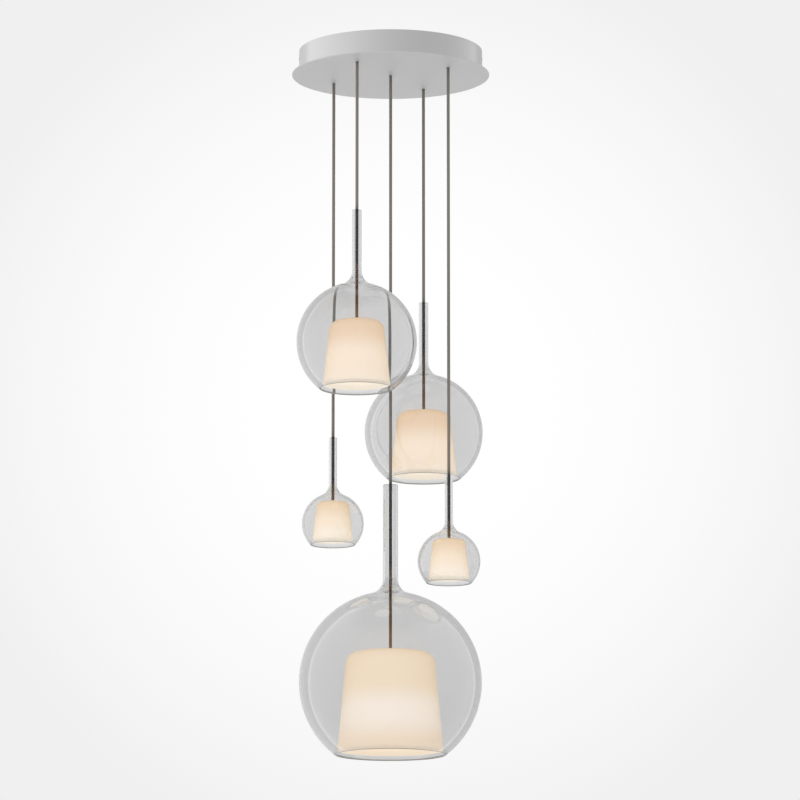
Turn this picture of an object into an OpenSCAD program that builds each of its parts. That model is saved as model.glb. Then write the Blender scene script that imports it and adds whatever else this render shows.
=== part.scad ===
// Cluster pendant chandelier: a round canopy on the ceiling, five cords, and five clear glass
// globes with opal glass shades inside. Millimetres, +Z up, +X right, +Y away from the front.
// The origin is the middle of the face that lies on the ceiling.

/* [Canopy] */
// Height of the drum
drum_h = 50; // [46:1:90]
// Sheet thickness of the drum
drum_t = 1.2; // [0.8:0.1:2]
// Distance from the ring of cords to the outside of the drum
drum_margin = 54; // [46:1:90]
// Width of the inward lip at the foot of the drum
lip_w = 24; // [18:1:30]
// Thickness of the cover plate
plate_t = 2; // [1.5:0.5:4]
// How far the cover plate stands out past the drum
plate_overhang = 15; // [3:1:40]
// Number of studs that hold the cover plate
stud_count = 6; // [3:1:8]

/* [Ceiling bar] */
// Width of the bar
bar_w = 30; // [26:1:40]
// Thickness of the bar and its ears
bar_t = 2.5; // [1.5:0.5:4]
// Height of the ears at the ends of the bar
ear_h = 22; // [18:1:30]
// Distance between the two inner slots
inner_slot_spacing = 120; // [90:5:150]
// Distance between the two outer slots
outer_slot_spacing = 280; // [240:5:320]
// Width of the slots
slot_w = 5.5; // [4:0.5:7]
// Length of the slots
slot_l = 20; // [12:1:26]
// Radius of the cable bore in the supply bush
supply_bore_r = 5.5; // [4:0.5:7]

/* [Cords] */
// Diameter of the round cords
cord_d = 6.5; // [4:0.5:7]
// Clear gap between the middle cord and the medium globes
middle_gap = 11.75; // [8:0.25:30]
// Angle of the first outer cord, counted from the right
first_cord_angle = 60; // [45:5:75]
// Cord length above the small glass at the back left
small_high_drop = 767; // [700:1:820]
// Cord length above the medium glass at the front left
medium_high_drop = 318; // [280:1:420]
// Cord length above the large glass
large_drop = 879; // [860:1:1100]
// Cord length above the medium glass at the back right
medium_low_drop = 467; // [420:1:560]
// Cord length above the small glass at the front right
small_low_drop = 868; // [820:1:880]

/* [Large glass] */
// Radius of the large globe
large_globe_r = 190; // [160:1:195]
// Outer radius of its neck
large_neck_r = 15.7; // [13:0.1:20]
// Length of its neck above the top of the globe
large_neck_l = 225; // [180:1:280]
// Radius of the arc from its neck into its globe
large_flare_r = 32; // [24:1:45]
// Radius of its open rim
large_rim_r = 115; // [113:1:130]
// Thickness of its glass
large_glass_t = 3; // [2:0.5:4]

/* [Medium glasses] */
// Radius of the medium globes
medium_globe_r = 125; // [110:1:135]
// Outer radius of their necks
medium_neck_r = 10; // [9:0.1:14]
// Length of their necks above the top of the globe
medium_neck_l = 155; // [120:1:180]
// Radius of the arc from neck into globe
medium_flare_r = 32; // [24:1:45]
// Radius of their open rims
medium_rim_r = 76.5; // [74:0.5:90]
// Thickness of their glass
medium_glass_t = 2.5; // [1.5:0.5:3]

/* [Small glasses] */
// Radius of the small globes
small_globe_r = 65; // [60:1:75]
// Outer radius of their necks
small_neck_r = 8.5; // [8:0.1:11]
// Length of their necks above the top of the globe
small_neck_l = 118; // [90:1:140]
// Radius of the arc from neck into globe
small_flare_r = 26; // [20:1:32]
// Radius of their open rims
small_rim_r = 46.7; // [45:0.1:52]
// Thickness of their glass
small_glass_t = 2; // [1.5:0.5:2.5]

/* [Opal shades] */
// Radius of the large shade at its top edge, before rounding
large_shade_top_r = 91; // [80:1:96]
// Radius of the large shade at its foot
large_shade_foot_r = 110; // [100:1:111]
// Height of the large shade
large_shade_h = 204; // [180:1:220]
// Radius of the large shade's shoulder
large_shoulder_r = 23; // [10:1:30]
// Radius of the medium shades at their top edge, before rounding
medium_shade_top_r = 55.5; // [50:0.5:60]
// Radius of the medium shades at their foot
medium_shade_foot_r = 70; // [62:1:71]
// Height of the medium shades
medium_shade_h = 133; // [122:1:140]
// Radius of the medium shades' shoulders
medium_shoulder_r = 19; // [8:1:22]
// Radius of the small shades at their top edge, before rounding
small_shade_top_r = 33.5; // [28:0.5:35]
// Radius of the small shades at their foot
small_shade_foot_r = 42.5; // [38:0.5:43]
// Height of the small shades
small_shade_h = 81; // [76:1:86]
// Radius of the small shades' shoulders
small_shoulder_r = 9; // [5:1:12]
// Thickness of the opal glass
shade_t = 2; // [1.5:0.5:3]
// How far the shades end above the rims of the globes
shade_recess = 9.5; // [6:0.5:14]

/* [Stems and lamps] */
// Diameter of the stems
stem_d = 6.5; // [5:0.5:7]
// Height of the clear seats that the globes rest on
seat_h = 16; // [10:1:18]
// Thickness of the plates that carry the shades
carrier_t = 1.5; // [1:0.5:3]
// Radius of the large and medium lampholders
holder_r = 19.5; // [18:0.5:22]
// Height of the large and medium lampholders
holder_h = 46; // [42:1:50]
// Radius of the small lampholders
small_holder_r = 14; // [12.5:0.5:16]
// Height of the small lampholders
small_holder_h = 34; // [32:1:36]
// Radius of the large bulb
large_bulb_r = 30; // [25:1:40]
// Length of the large bulb below its holder
large_bulb_l = 84; // [75:1:95]
// Radius of the medium bulbs
medium_bulb_r = 22.5; // [20:0.5:28]
// Length of the medium bulbs below their holders
medium_bulb_l = 54; // [48:1:60]
// Radius of the small bulbs
small_bulb_r = 13; // [11:0.5:16]
// Length of the small bulbs below their holders
small_bulb_l = 34; // [30:1:38]

/* [Hidden] */
$fn = 96;
PENDANTS = ["small_high", "medium_high", "large", "medium_low", "small_low"];
PIECES = ["cord", "stem", "glass_seat", "globe", "shade", "shade_carrier", "lampholder", "bulb"];
CANOPY = [
    "ceiling_bar", "supply_bush", "canopy_drum", "canopy_plate", "side_screws", "plate_nuts",
    "cord_grips", "grip_screws", "terminal_block", "terminal_screws", "block_screws",
    "inner_leads", "earth_lead", "earth_fixings"
];

// Clearances: in a fixed fit, round a cord or screw in a plain hole, under the glass and beside the
// ears of the bar, and above a stem that swings
fit = 0.05;
hole_gap = 0.25;
seat_gap = 0.3;
swing_gap = 0.4;
overcut = 1;

// Sizes of each kind of pendant: small, medium, large. The caps are those of the two usual screw bases.
kind = [0, 1, 2, 1, 0];
globe_r = [small_globe_r, medium_globe_r, large_globe_r];
neck_r = [small_neck_r, medium_neck_r, large_neck_r];
neck_l = [small_neck_l, medium_neck_l, large_neck_l];
flare_r = [small_flare_r, medium_flare_r, large_flare_r];
rim_r = [small_rim_r, medium_rim_r, large_rim_r];
glass_t = [small_glass_t, medium_glass_t, large_glass_t];
shade_top_r = [small_shade_top_r, medium_shade_top_r, large_shade_top_r];
shade_foot_r = [small_shade_foot_r, medium_shade_foot_r, large_shade_foot_r];
shade_h = [small_shade_h, medium_shade_h, large_shade_h];
shoulder_r = [small_shoulder_r, medium_shoulder_r, large_shoulder_r];
lamp_r = [small_holder_r, holder_r, holder_r];
lamp_h = [small_holder_h, holder_h, holder_h];
cap_r = [7, 13.2, 13.2];
cap_h = [22, 24, 24];
bulb_r = [small_bulb_r, medium_bulb_r, large_bulb_r];
bulb_l = [small_bulb_l, medium_bulb_l, large_bulb_l];

// Places of the five cords
drop = [small_high_drop, medium_high_drop, large_drop, medium_low_drop, small_low_drop];
cord_angle = [for (turn = [90, 180, 0, 0, 270]) first_cord_angle + turn];
cord_r = cord_d / 2;
stem_r = stem_d / 2;
cord_ring_r = medium_globe_r + cord_r + middle_gap;
cord_out = [cord_ring_r, cord_ring_r, 0, cord_ring_r, cord_ring_r];

// Levels, all below the ceiling
drum_r = cord_ring_r + drum_margin;
plate_r = drum_r + plate_overhang;
plate_top = -drum_h;
plate_foot = plate_top - plate_t;
plate_edge = 0.5;
neck_top = [for (d = drop) plate_foot - d];
globe_z = [for (k = [0:4]) neck_top[k] - neck_l[kind[k]] - globe_r[kind[k]]];
rim_depth = [for (s = [0:2]) sqrt(pow(globe_r[s], 2) - pow(rim_r[s], 2))];
shade_z = [for (k = [0:4]) let (s = kind[k]) globe_z[k] - rim_depth[s] + shade_recess + shade_h[s]];
carrier_z = [for (z = shade_z) z - shade_t];
holder_z = [for (z = carrier_z) z - carrier_t];
flare_x = [for (s = [0:2]) neck_r[s] + flare_r[s]];
flare_z = [for (s = [0:2]) sqrt(pow(globe_r[s] + flare_r[s], 2) - pow(flare_x[s], 2))];

// Steps of the round stretches in the outlines of glass, shades and bulbs
edge_steps = 6;
flare_steps = 8;
globe_steps = 36;
shoulder_steps = 8;
bulb_steps = 14;

// Fixings
m4_r = 2;
m3_r = 1.5;
m3_head_r = 2.7;
m3_head_h = 2;
nut_af = 7;
nut_h = 3.2;
thread_end = 3;
stud_r = drum_r - lip_w / 2 - drum_t;
stud_h = drum_t + nut_h + thread_end;
stud_turn = 30;
ear_inset = 2;
ear_w = bar_w - 2 * ear_inset;
ear_x = sqrt(pow(drum_r - drum_t, 2) - pow(bar_w / 2, 2)) - seat_gap;
side_screw_rise = 6;
side_screw_z = side_screw_rise - ear_h;
side_screw_x = ear_x - 2 * bar_t;
side_head_r = 3.5;
side_head_h = 0.5;

// Supply bush
bush_wall = 3;
bush_r = supply_bore_r + bush_wall;
bush_flange_w = 3;
bush_flange_h = 1.5;
bush_tail = 4;

// Cord grips
grip_wall = 2.2;
grip_spigot_r = cord_r + grip_wall;
grip_head_w = 3.5;
grip_head_r = grip_spigot_r + grip_head_w;
grip_head_h = 8;
collar_wall = 3;
collar_r = grip_spigot_r + collar_wall;
collar_h = 6;
grip_top = plate_top + collar_h + grip_head_h;
grip_screw_l = 6;
grip_screw_turn = 90;
grip_screw_start = cord_r + hole_gap + fit;

// Terminal strip
ways = 5;
way_pitch = 10;
way_slit = 2;
block_y = 75;
block_w = 22;
block_h = 14;
block_end = 7;
block_l = ways * way_pitch + 2 * block_end;
pillar_h = 6;
pillar_r = 3.5;
block_foot = plate_top + pillar_h;
block_top = block_foot + block_h;
entry_depth = 5;
entry_z = block_foot + block_h / 2;
straight_l = 12;
clamp_hole_h = 3;
clamp_screw_h = 2.5;
way_of = [0, 1, 2, 4, 3];

// Earth bond between the cover plate and the bar
earth_d = 2.5;
earth_stud = [-95, -30];
earth_bar_x = -95;
earth_head_h = 2.5;
lug_r = 4.5;
lug_t = 1;
crimp_out = 0.8;
crimp_in = 0.3;

// Stem and lamp
stem_depth = 6;
boss_wall = 4;
cap_play = 2;
cap_contact_h = 1.5;
bulb_skirt = 1;

// Routes of the five inner leads between grip and terminal strip, chosen by hand
lead_sides = 8;
lead_steps = 3;
lead_rise = 2;
lead_run = [
    [[-117, 68, -24], [-100, 62, -17], [-70, 45, -18], [-40, 32, -26], [-24, 38, -34]],
    [[-68, -117, -24], [-60, -96, -17], [-42, -50, -18], [-24, 0, -22], [-12, 32, -33]],
    [[0, 5, -25], [0, 17, -19], [0, 34, -26]],
    [[70, 116, -24], [68, 98, -17], [62, 66, -18], [48, 42, -25], [28, 38, -34]],
    [[116, -67, -24], [98, -55, -17], [60, -20, -18], [28, 12, -22], [13, 34, -33]]
];
earth_run = [[-95, -37, -30], [-95, -35, -16], [-95, -22, -6]];

// Straight run of a free cord: the same share of its length between rings
cord_steps = 15;
cord_sides = 12;
cord_colour = [0.42, 0.38, 0.33];

function arc(centre, r, from, to, steps) = [
    for (i = [0:steps]) let (turn = from + (to - from) * i / steps) centre + r * [cos(turn), sin(turn)]
];
function cord_place(k) = [cord_out[k] * cos(cord_angle[k]), cord_out[k] * sin(cord_angle[k])];
function arrow(v) = v / norm(v);
function headings(run) = [
    for (i = [0:len(run) - 1]) arrow(run[min(i + 1, len(run) - 1)] - run[max(i - 1, 0)])
];
function square_to(side, heading) = arrow(side - (side * heading) * heading);
function sides_along(headings, side, i = 0, done = []) =
    i == len(headings) ? done :
    let (next = square_to(side, headings[i]))
    sides_along(headings, next, i + 1, concat(done, [next]));
function between(a, b, c, d, t) =
    0.5 * (2 * b + (c - a) * t + (2 * a - 5 * b + 4 * c - d) * t * t + (3 * b - a - 3 * c + d) * t * t * t);
function smooth_run(run, steps) = concat(
    [for (i = [0:len(run) - 2]) for (j = [0:steps - 1])
        between(run[max(i - 1, 0)], run[i], run[i + 1], run[min(i + 2, len(run) - 1)], j / steps)],
    [run[len(run) - 1]]
);
function lead_ends(k) = let (p = cord_place(k)) [
    [p.x, p.y, plate_foot + swing_gap],
    [p.x, p.y, grip_top],
    [p.x, p.y, grip_top + lead_rise]
];
function lead_entry(k) = let (
    x = (way_of[k] - (ways - 1) / 2) * way_pitch,
    face_y = block_y - block_w / 2
) [
    [x, face_y - straight_l, entry_z],
    [x, face_y, entry_z],
    [x, face_y + entry_depth, entry_z]
];
function lead_route(k) = concat(lead_ends(k), lead_run[k], lead_entry(k));

// A tube of radius r swept along a run of points
module tube_along(run, r, sides) {
    heading = headings(run);
    side = sides_along(heading, [1, 0, 0]);
    n = len(run);
    points = [
        for (i = [0:n - 1]) for (j = [0:sides - 1])
            run[i] + r * (cos(360 * j / sides) * side[i] + sin(360 * j / sides) * cross(heading[i], side[i]))
    ];
    walls = [
        for (i = [0:n - 2]) for (j = [0:sides - 1])
            let (a = i * sides + j, b = i * sides + (j + 1) % sides)
            for (face = [[a, a + sides, b], [b, a + sides, b + sides]]) face
    ];
    first_end = [for (j = [1:sides - 2]) [0, j, j + 1]];
    last = (n - 1) * sides;
    last_end = [for (j = [1:sides - 2]) [last, last + j + 1, last + j]];
    polyhedron(points, concat(walls, first_end, last_end));
}

module at_cord(k) {
    p = cord_place(k);
    translate([p.x, p.y, 0]) children();
}

module ring_at_cords() {
    for (k = [0:4]) at_cord(k) children();
}

module stud_places() {
    for (i = [0:stud_count - 1]) {
        rotate(stud_turn + 360 * i / stud_count) translate([stud_r, 0, 0]) children();
    }
}

module nut(bore_r) {
    difference() {
        cylinder(d = nut_af / cos(30), h = nut_h, $fn = 6);
        translate([0, 0, -overcut]) cylinder(r = bore_r, h = nut_h + 2 * overcut);
    }
}

module slot_hole(x) {
    straight = slot_l - slot_w;
    depth = bar_t + 2 * overcut;
    translate([x, 0, -bar_t - overcut]) {
        for (end = [-straight / 2, straight / 2]) {
            translate([end, 0, 0]) cylinder(d = slot_w, h = depth);
        }
        translate([-straight / 2, -slot_w / 2, 0]) cube([straight, slot_w, depth]);
    }
}

module ceiling_bar() {
    color("silver") difference() {
        union() {
            translate([-ear_x, -bar_w / 2, -bar_t]) cube([2 * ear_x, bar_w, bar_t]);
            for (side = [0, 180]) {
                rotate(side) translate([ear_x - bar_t, -ear_w / 2, -ear_h]) cube([bar_t, ear_w, ear_h]);
            }
        }
        for (x = [inner_slot_spacing / 2, outer_slot_spacing / 2]) {
            slot_hole(x);
            slot_hole(-x);
        }
        translate([0, 0, -bar_t - overcut]) cylinder(r = bush_r + fit, h = bar_t + 2 * overcut);
        translate([earth_bar_x, 0, -bar_t - overcut]) cylinder(r = m4_r + fit, h = bar_t + 2 * overcut);
        translate([0, 0, side_screw_z]) rotate([0, 90, 0]) {
            cylinder(r = m4_r + fit, h = 2 * drum_r, center = true);
        }
    }
}

module supply_bush() {
    flange_foot = -bar_t - bush_flange_h;
    tail_foot = flange_foot - bush_tail;
    color("dimgray") difference() {
        union() {
            translate([0, 0, tail_foot]) cylinder(r = bush_r, h = -tail_foot);
            translate([0, 0, flange_foot]) cylinder(r = bush_r + bush_flange_w, h = bush_flange_h);
        }
        translate([0, 0, tail_foot - overcut]) cylinder(r = supply_bore_r, h = 2 * overcut - tail_foot);
    }
}

module canopy_drum() {
    color("silver") difference() {
        rotate_extrude() polygon([
            [drum_r - drum_t, 0],
            [drum_r, 0],
            [drum_r, plate_top],
            [drum_r - lip_w, plate_top],
            [drum_r - lip_w, plate_top + drum_t],
            [drum_r - drum_t, plate_top + drum_t]
        ]);
        stud_places() translate([0, 0, plate_top - overcut]) {
            cylinder(r = m4_r + hole_gap, h = drum_t + 2 * overcut);
        }
        translate([0, 0, side_screw_z]) rotate([0, 90, 0]) {
            cylinder(r = m4_r + hole_gap, h = 2 * drum_r + 2 * overcut, center = true);
        }
    }
}

// A post welded half way into the cover plate
module post(r, h) {
    translate([0, 0, plate_top - plate_t / 2]) cylinder(r = r, h = h + plate_t / 2);
}

module canopy_plate() {
    color("silver") difference() {
        union() {
            rotate_extrude() polygon([
                [0, plate_foot],
                [plate_r - plate_edge, plate_foot],
                [plate_r, plate_foot + plate_edge],
                [plate_r, plate_top - plate_edge],
                [plate_r - plate_edge, plate_top],
                [0, plate_top]
            ]);
            ring_at_cords() post(collar_r, collar_h);
            stud_places() post(m4_r, stud_h);
            translate([earth_stud.x, earth_stud.y, 0]) post(m4_r, stud_h);
            block_screw_places() post(pillar_r, pillar_h);
        }
        ring_at_cords() {
            translate([0, 0, plate_foot - overcut]) {
                cylinder(r = cord_r + hole_gap, h = plate_t + 2 * overcut);
            }
            translate([0, 0, plate_top]) cylinder(r = grip_spigot_r + fit, h = collar_h + overcut);
        }
        block_screw_places() translate([0, 0, plate_top]) cylinder(r = m3_r + fit, h = pillar_h + overcut);
    }
}

module side_screws() {
    color("silver") for (side = [0, 180]) {
        rotate(side) translate([0, 0, side_screw_z]) rotate([0, 90, 0]) {
            translate([0, 0, side_screw_x]) cylinder(r = m4_r, h = drum_r + side_head_h / 2 - side_screw_x);
            translate([0, 0, drum_r]) cylinder(r = side_head_r, h = side_head_h);
        }
    }
}

module plate_nuts() {
    color("silver") stud_places() translate([0, 0, plate_top + drum_t]) nut(m4_r + fit);
}

module cord_grips() {
    color("dimgray") ring_at_cords() difference() {
        union() {
            translate([0, 0, plate_top]) cylinder(r = grip_spigot_r, h = collar_h);
            translate([0, 0, plate_top + collar_h]) cylinder(r = grip_head_r, h = grip_head_h);
        }
        translate([0, 0, plate_top - overcut]) {
            cylinder(r = cord_r + hole_gap, h = collar_h + grip_head_h + 2 * overcut);
        }
        translate([0, 0, grip_top - grip_head_h / 2]) rotate([0, 90, grip_screw_turn]) {
            cylinder(r = m3_r + fit, h = grip_head_r + overcut);
        }
    }
}

module grip_screws() {
    color("silver") ring_at_cords() {
        translate([0, 0, grip_top - grip_head_h / 2]) rotate([0, 90, grip_screw_turn]) {
            translate([0, 0, grip_screw_start]) cylinder(r = m3_r, h = grip_screw_l + m3_head_h / 2);
            translate([0, 0, grip_screw_start + grip_screw_l]) cylinder(r = m3_head_r, h = m3_head_h);
        }
    }
}

module block_screw_places() {
    for (side = [-1, 1]) {
        translate([side * (block_l / 2 - pillar_r), block_y, 0]) children();
    }
}

module way_places() {
    for (i = [0:ways - 1]) {
        translate([(i - (ways - 1) / 2) * way_pitch, block_y, 0]) children();
    }
}

module terminal_block() {
    color("white") difference() {
        union() {
            translate([-block_l / 2, block_y - block_w / 2, block_foot]) {
                cube([block_l, block_w, block_h / 2]);
            }
            way_places() translate([(way_slit - way_pitch) / 2, -block_w / 2, block_foot]) {
                cube([way_pitch - way_slit, block_w, block_h]);
            }
        }
        way_places() for (side = [0, 180]) rotate(side) {
            translate([0, -block_w / 2 - overcut, entry_z]) rotate([-90, 0, 0]) {
                cylinder(r = cord_r + hole_gap, h = entry_depth + hole_gap + overcut);
            }
            translate([0, -block_w / 4, block_top - clamp_hole_h]) {
                cylinder(r = m3_r + fit, h = clamp_hole_h + overcut);
            }
        }
        block_screw_places() translate([0, 0, block_foot - overcut]) {
            cylinder(r = m3_r + hole_gap, h = block_h);
        }
    }
}

module terminal_screws() {
    color("gold") way_places() for (side = [-1, 1]) {
        translate([0, side * block_w / 4, block_top - clamp_hole_h]) cylinder(r = m3_r, h = clamp_screw_h);
    }
}

module block_screws() {
    color("silver") block_screw_places() {
        translate([0, 0, plate_top + fit]) cylinder(r = m3_r, h = entry_z + m3_head_h / 2 - plate_top - fit);
        translate([0, 0, entry_z]) cylinder(r = m3_head_r, h = m3_head_h);
    }
}

module inner_leads() {
    color(cord_colour) for (k = [0:4]) {
        tube_along(smooth_run(lead_route(k), lead_steps), cord_r, lead_sides);
    }
}

module earth_lead() {
    stud_end = [earth_stud.x, earth_stud.y - lug_r - crimp_out, plate_top + lug_t / 2];
    bar_end = [earth_bar_x, crimp_in - lug_r, -bar_t - earth_d / 2 - fit];
    run = smooth_run(concat([stud_end], earth_run, [bar_end]), lead_steps);
    color("yellowgreen") {
        tube_along(run, earth_d / 2, lead_sides);
        translate([earth_stud.x, earth_stud.y, plate_top]) lug();
        translate([earth_bar_x, 0, -bar_t - lug_t]) lug();
    }
}

module lug() {
    difference() {
        cylinder(r = lug_r, h = lug_t);
        translate([0, 0, -overcut]) cylinder(r = m4_r + hole_gap, h = lug_t + 2 * overcut);
    }
}

module earth_fixings() {
    color("gold") {
        translate([earth_stud.x, earth_stud.y, plate_top + lug_t]) nut(m4_r + fit);
        translate([earth_bar_x, 0, -bar_t - lug_t]) {
            translate([0, 0, -earth_head_h / 2]) cylinder(r = m4_r, h = earth_head_h / 2 + lug_t + bar_t);
            translate([0, 0, -earth_head_h]) cylinder(r = nut_af / 2, h = earth_head_h);
        }
    }
}

module cord(k) {
    top = plate_foot;
    foot = neck_top[k] + swing_gap;
    p = cord_place(k);
    run = [for (i = [0:cord_steps]) [p.x, p.y, top + (foot - top) * i / cord_steps]];
    color(cord_colour) tube_along(run, cord_r, cord_sides);
}

module stem(k) {
    foot = holder_z[k] - stem_depth;
    color([0.25, 0.23, 0.22]) at_cord(k) translate([0, 0, foot]) {
        cylinder(r = stem_r, h = neck_top[k] - foot);
    }
}

// Clear bush on the stem: its flank is the inside of the glass flare, a small gap inward
module glass_seat(k) {
    s = kind[k];
    color([0.9, 0.92, 0.93, 0.5]) at_cord(k) translate([0, 0, globe_z[k]]) rotate_extrude() difference() {
        translate([stem_r + fit, flare_z[s] - seat_h]) square([flare_x[s] - stem_r - fit, seat_h]);
        translate([flare_x[s], flare_z[s]]) circle(r = flare_r[s] + glass_t[s] + seat_gap);
    }
}

// Outline of the glass from the lip of the neck down the outside, round the rim and up the inside
function glass_outline(s) = let (
    wall = glass_t[s],
    lip = [neck_r[s] - wall / 2, globe_r[s] + neck_l[s] - wall / 2],
    flare = [flare_x[s], flare_z[s]],
    crown_turn = atan2(flare_z[s], flare_x[s]),
    mid_r = globe_r[s] - wall / 2,
    rim_turn = asin((wall / 2 - rim_depth[s]) / mid_r),
    rim = mid_r * [cos(rim_turn), sin(rim_turn)]
) concat(
    arc(lip, wall / 2, 180, 0, edge_steps),
    arc(flare, flare_r[s], 180, 180 + crown_turn, flare_steps),
    arc([0, 0], globe_r[s], crown_turn, rim_turn, globe_steps),
    arc(rim, wall / 2, rim_turn, rim_turn - 180, edge_steps),
    arc([0, 0], globe_r[s] - wall, rim_turn, crown_turn, globe_steps),
    arc(flare, flare_r[s] + wall, 180 + crown_turn, 180, flare_steps)
);

module globe(k) {
    color([0.85, 0.88, 0.9, 0.35]) at_cord(k) translate([0, 0, globe_z[k]]) {
        rotate_extrude() polygon(glass_outline(kind[k]));
    }
}

// Outline of a shade from its stem hole over the shoulder, round the foot and up the inside
function shade_outline(s) = let (
    spread = shade_foot_r[s] - shade_top_r[s],
    slant = norm([shade_h[s], spread]),
    side_turn = atan2(spread, shade_h[s]),
    shoulder = [shade_top_r[s] - shoulder_r[s] * (slant - spread) / shade_h[s], -shoulder_r[s]],
    foot_y = shade_t / 2 - shade_h[s],
    foot = [shade_top_r[s] - spread * foot_y / shade_h[s] - shade_t / 2 * slant / shade_h[s], foot_y],
    hole = stem_r + hole_gap
) concat(
    [[hole, 0]],
    arc(shoulder, shoulder_r[s], 90, side_turn, shoulder_steps),
    arc(foot, shade_t / 2, side_turn, side_turn - 180, edge_steps),
    arc(shoulder, shoulder_r[s] - shade_t, side_turn, 90, shoulder_steps),
    [[hole, -shade_t]]
);

module shade(k) {
    color([0.97, 0.9, 0.8]) at_cord(k) translate([0, 0, shade_z[k]]) {
        rotate_extrude() polygon(shade_outline(kind[k]));
    }
}

module shade_carrier(k) {
    color("silver") at_cord(k) translate([0, 0, holder_z[k]]) difference() {
        cylinder(r = lamp_r[kind[k]], h = carrier_t);
        translate([0, 0, -overcut]) cylinder(r = stem_r + fit, h = carrier_t + 2 * overcut);
    }
}

module lampholder(k) {
    s = kind[k];
    bore_r = cap_r[s] + hole_gap;
    boss_r = stem_r + boss_wall;
    roof = cap_h[s] + cap_play - lamp_h[s];
    color("white") at_cord(k) translate([0, 0, holder_z[k]]) rotate_extrude() polygon([
        [stem_r + fit, 0],
        [boss_r, 0],
        [lamp_r[s], boss_r - lamp_r[s]],
        [lamp_r[s], -lamp_h[s]],
        [bore_r, -lamp_h[s]],
        [bore_r, roof],
        [stem_r + fit, roof]
    ]);
}

// Pear bulb: a screw cap in the holder and a round glass whose flank runs straight to the cap
module bulb(k) {
    s = kind[k];
    base_r = cap_r[s] + bulb_skirt;
    centre_y = bulb_r[s] - bulb_l[s];
    turn = atan2(-centre_y, base_r) - acos(bulb_r[s] / norm([base_r, centre_y]));
    color([0.98, 0.96, 0.92]) at_cord(k) translate([0, 0, holder_z[k] - lamp_h[s]]) {
        cylinder(r = cap_r[s], h = cap_h[s]);
        translate([0, 0, cap_h[s]]) cylinder(r = cap_r[s] / 2, h = cap_contact_h);
        rotate_extrude() polygon(concat(
            [[0, 0], [base_r, 0]],
            arc([0, centre_y], bulb_r[s], turn, -90, bulb_steps)
        ));
    }
}

ceiling_bar();
supply_bush();
canopy_drum();
canopy_plate();
side_screws();
plate_nuts();
cord_grips();
grip_screws();
terminal_block();
terminal_screws();
block_screws();
inner_leads();
earth_lead();
earth_fixings();
for (k = [0:4]) {
    cord(k);
    stem(k);
    glass_seat(k);
    globe(k);
    shade(k);
    shade_carrier(k);
    lampholder(k);
    bulb(k);
}
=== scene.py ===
"""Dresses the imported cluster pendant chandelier: cords, clear glass, lit opal shades and satin metal."""

import math

import bmesh
import bpy
from bpy.props import BoolProperty, FloatProperty, FloatVectorProperty, IntProperty, PointerProperty
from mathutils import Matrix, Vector


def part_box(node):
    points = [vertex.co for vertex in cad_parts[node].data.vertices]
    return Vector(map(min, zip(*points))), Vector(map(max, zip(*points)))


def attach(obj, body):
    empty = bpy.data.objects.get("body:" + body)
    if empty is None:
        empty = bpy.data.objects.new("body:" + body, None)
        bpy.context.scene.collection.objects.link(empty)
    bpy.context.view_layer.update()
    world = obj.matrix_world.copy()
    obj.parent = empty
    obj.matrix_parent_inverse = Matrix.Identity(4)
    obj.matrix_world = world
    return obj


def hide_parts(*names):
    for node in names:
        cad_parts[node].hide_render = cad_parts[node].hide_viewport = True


bl_info = {
    "name": "Cluster Pendant Chandelier",
    "version": (1, 0, 0),
    "blender": (4, 5, 0),
    "location": "View3D > Sidebar > Chandelier",
    "description": "Dresses a packed chandelier with glass globes, lit opal shades, cords and satin metal",
    "category": "Add Mesh",
}

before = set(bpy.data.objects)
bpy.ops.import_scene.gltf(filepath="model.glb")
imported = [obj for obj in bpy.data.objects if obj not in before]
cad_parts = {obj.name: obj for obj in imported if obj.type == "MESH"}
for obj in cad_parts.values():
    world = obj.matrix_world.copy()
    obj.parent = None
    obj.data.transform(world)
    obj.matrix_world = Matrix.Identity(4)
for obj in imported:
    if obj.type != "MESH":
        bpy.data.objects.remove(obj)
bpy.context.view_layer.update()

PENDANTS = ("small_high", "medium_high", "large", "medium_low", "small_low")

# Sizes of each kind of pendant, in metres: its clear globe, then its opal shade
FLARE_RADIUS = {"small": 0.026, "medium": 0.032, "large": 0.032}
NECK_RADIUS = {"small": 0.0085, "medium": 0.010, "large": 0.0157}
RIM_RADIUS = {"small": 0.0467, "medium": 0.0765, "large": 0.115}
GLASS_THICKNESS = {"small": 0.002, "medium": 0.0025, "large": 0.003}
SHADE_SHOULDER = {"small": 0.009, "medium": 0.019, "large": 0.023}
SHADE_TOP_RADIUS = {"small": 0.0335, "medium": 0.0555, "large": 0.091}
SHADE_THICKNESS = 0.002
STEM_HOLE = 0.0035

# Where each shade's painted glow has the light of its foot, its middle and its top, as shares of its height
GLOW_SHARES = {
    "small": ((0.0, "foot"), (0.15, "foot"), (0.4, "middle"), (0.9, "top"), (1.0, "top")),
    "medium": ((0.0, "foot"), (0.2, "middle"), (0.38, "middle"), (0.85, "top"), (1.0, "top")),
    "large": ((0.0, "foot"), (0.3, "middle"), (0.4, "middle"), (0.66, "top"), (1.0, "top")),
}
# Where each glass's neck begins, as a share of its height
NECK_SHARES = {"small": 0.52, "medium": 0.62, "large": 0.64}
# The share of each stem, from its foot, that shows the painted bronze reflection of the lit shade
REFLECTION_SHARES = {"small": 0.33, "medium": 0.53, "large": 0.50}
# Where the painted light inside each shade rises from its foot's level to its full level, as shares of its
# height
FOOT_SHARES = {"small": (0.02, 0.07), "medium": (0.05, 0.13), "large": (0.03, 0.10)}
# Where the bulb's light ends and its plated cap begins, as shares of its height
BULB_SHARES = (0.5, 0.72)

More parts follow.
